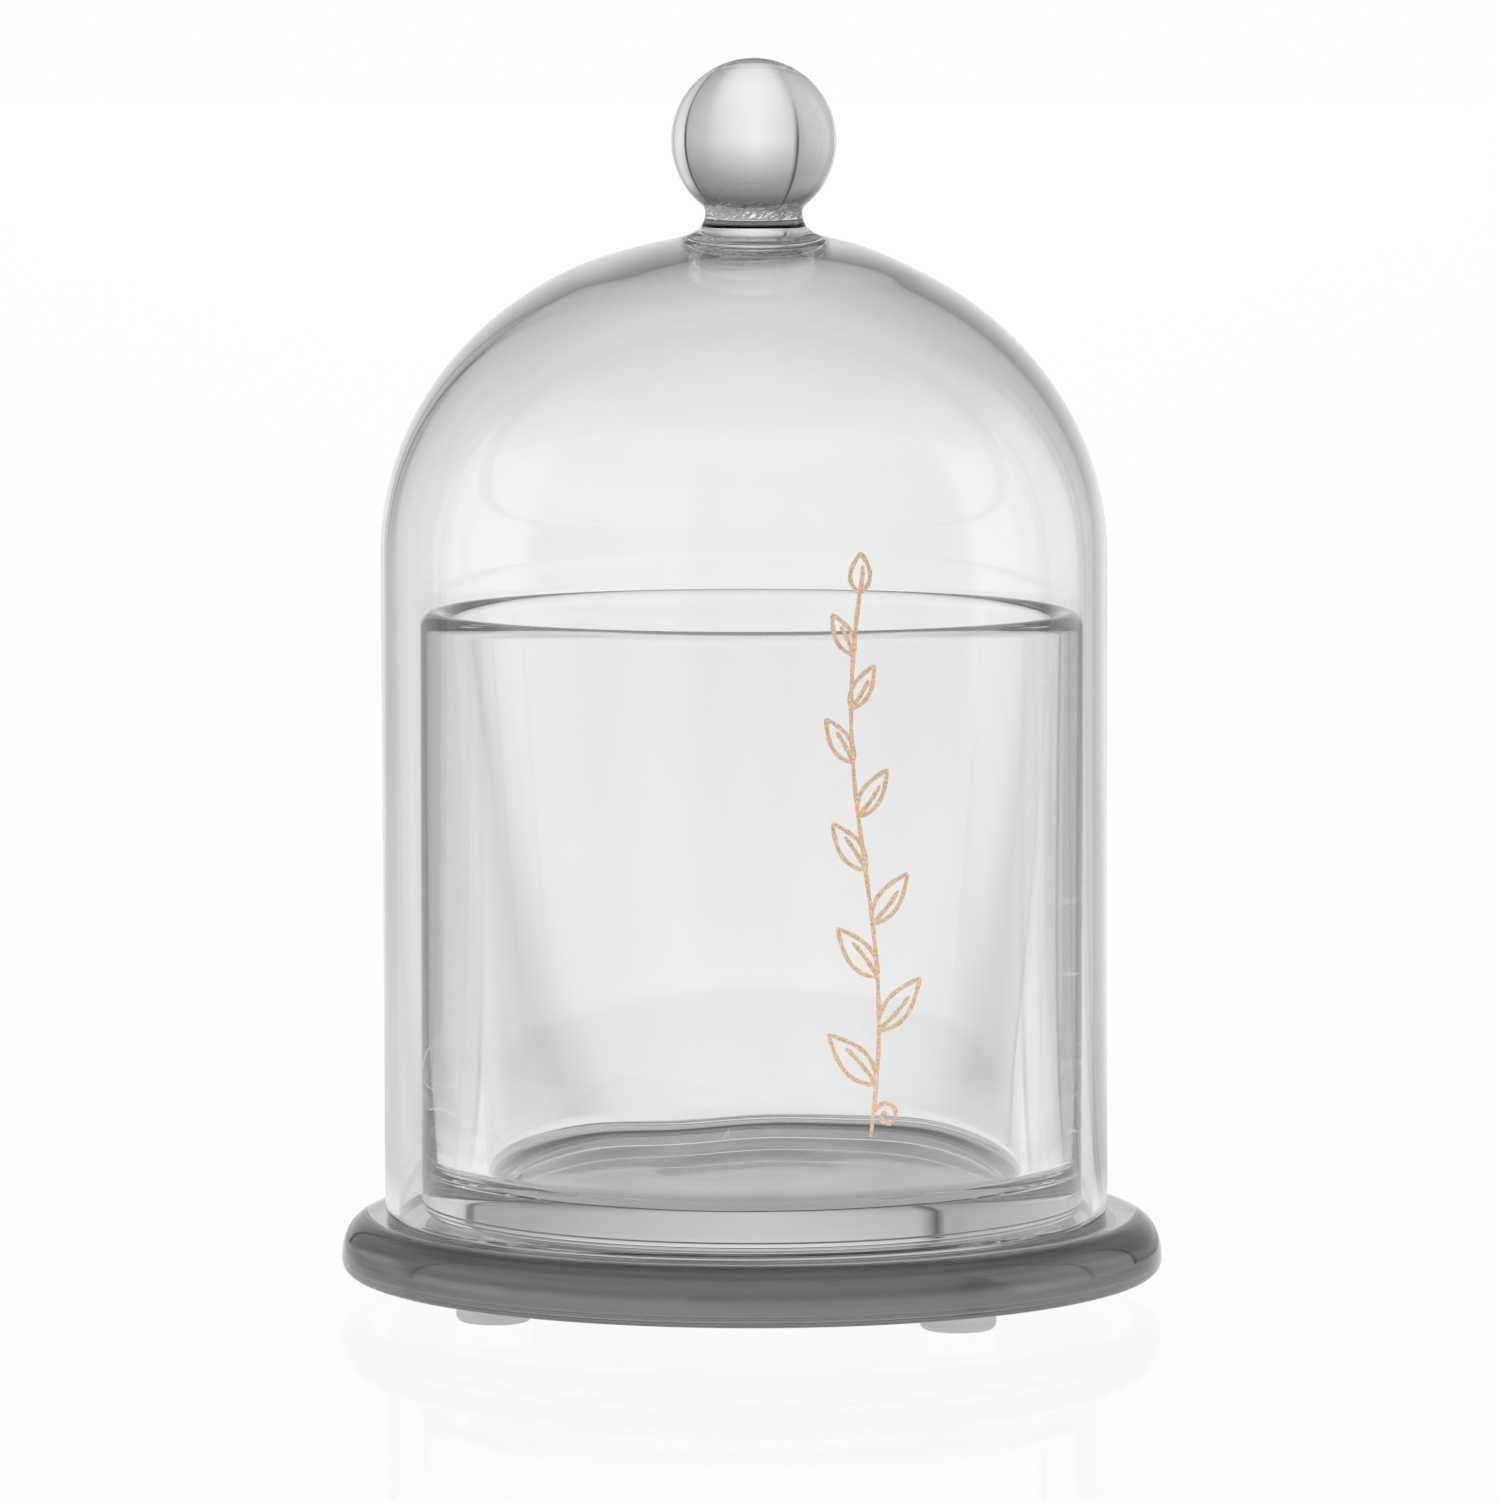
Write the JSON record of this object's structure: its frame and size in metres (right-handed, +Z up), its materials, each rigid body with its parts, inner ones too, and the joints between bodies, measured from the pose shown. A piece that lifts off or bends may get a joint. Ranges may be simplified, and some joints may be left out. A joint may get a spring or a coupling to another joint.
{
  "type": "bell jar dome",
  "caption": "Clear glass bell jar: a domed cover with a ball knob stands over a heavy straight glass cup on a thick round glass plate with small bumper feet.",
  "frame": {"origin": "centre of the round plate, on the surface that its feet stand on", "axes": "+Z up along the plate's axis; -Y is the front, where the foil decoration faces the viewer, a little towards +X"},
  "size_m": [0.09, 0.09, 0.1351],
  "materials": {
    "plate_glass": "clear pressed glass, fire-polished",
    "foot_silicone": "clear silicone, slightly milky, satin",
    "cup_glass": "clear heavy glass, fire-polished",
    "blown_glass": "clear thin blown glass, faintly rippled",
    "seedy_glass": "clear glass full of small trapped bubbles",
    "knob_glass": "clear solid glass, fire-polished",
    "rose_foil": "rose-gold glitter foil print"
  },
  "bodies": {
    "base": {"base_plate": "plate_glass", "bumper_foot_1": "foot_silicone", "bumper_foot_2": "foot_silicone", "bumper_foot_3": "foot_silicone", "bumper_foot_4": "foot_silicone"},
    "cup": {"match_cup": "cup_glass"},
    "dome": {"dome_shell": "blown_glass", "knob_collar": "seedy_glass", "knob_ball": "knob_glass"}
  },
  "joints": [
    {"name": "cup_lift", "type": "slide", "parent": "base", "child": "cup", "axis": [0, 0, 1], "range_m": [0, 0.08]},
    {"name": "dome_lift", "type": "slide", "parent": "cup", "child": "dome", "axis": [0, 0, 1], "range_m": [0, 0.12]}
  ]
}
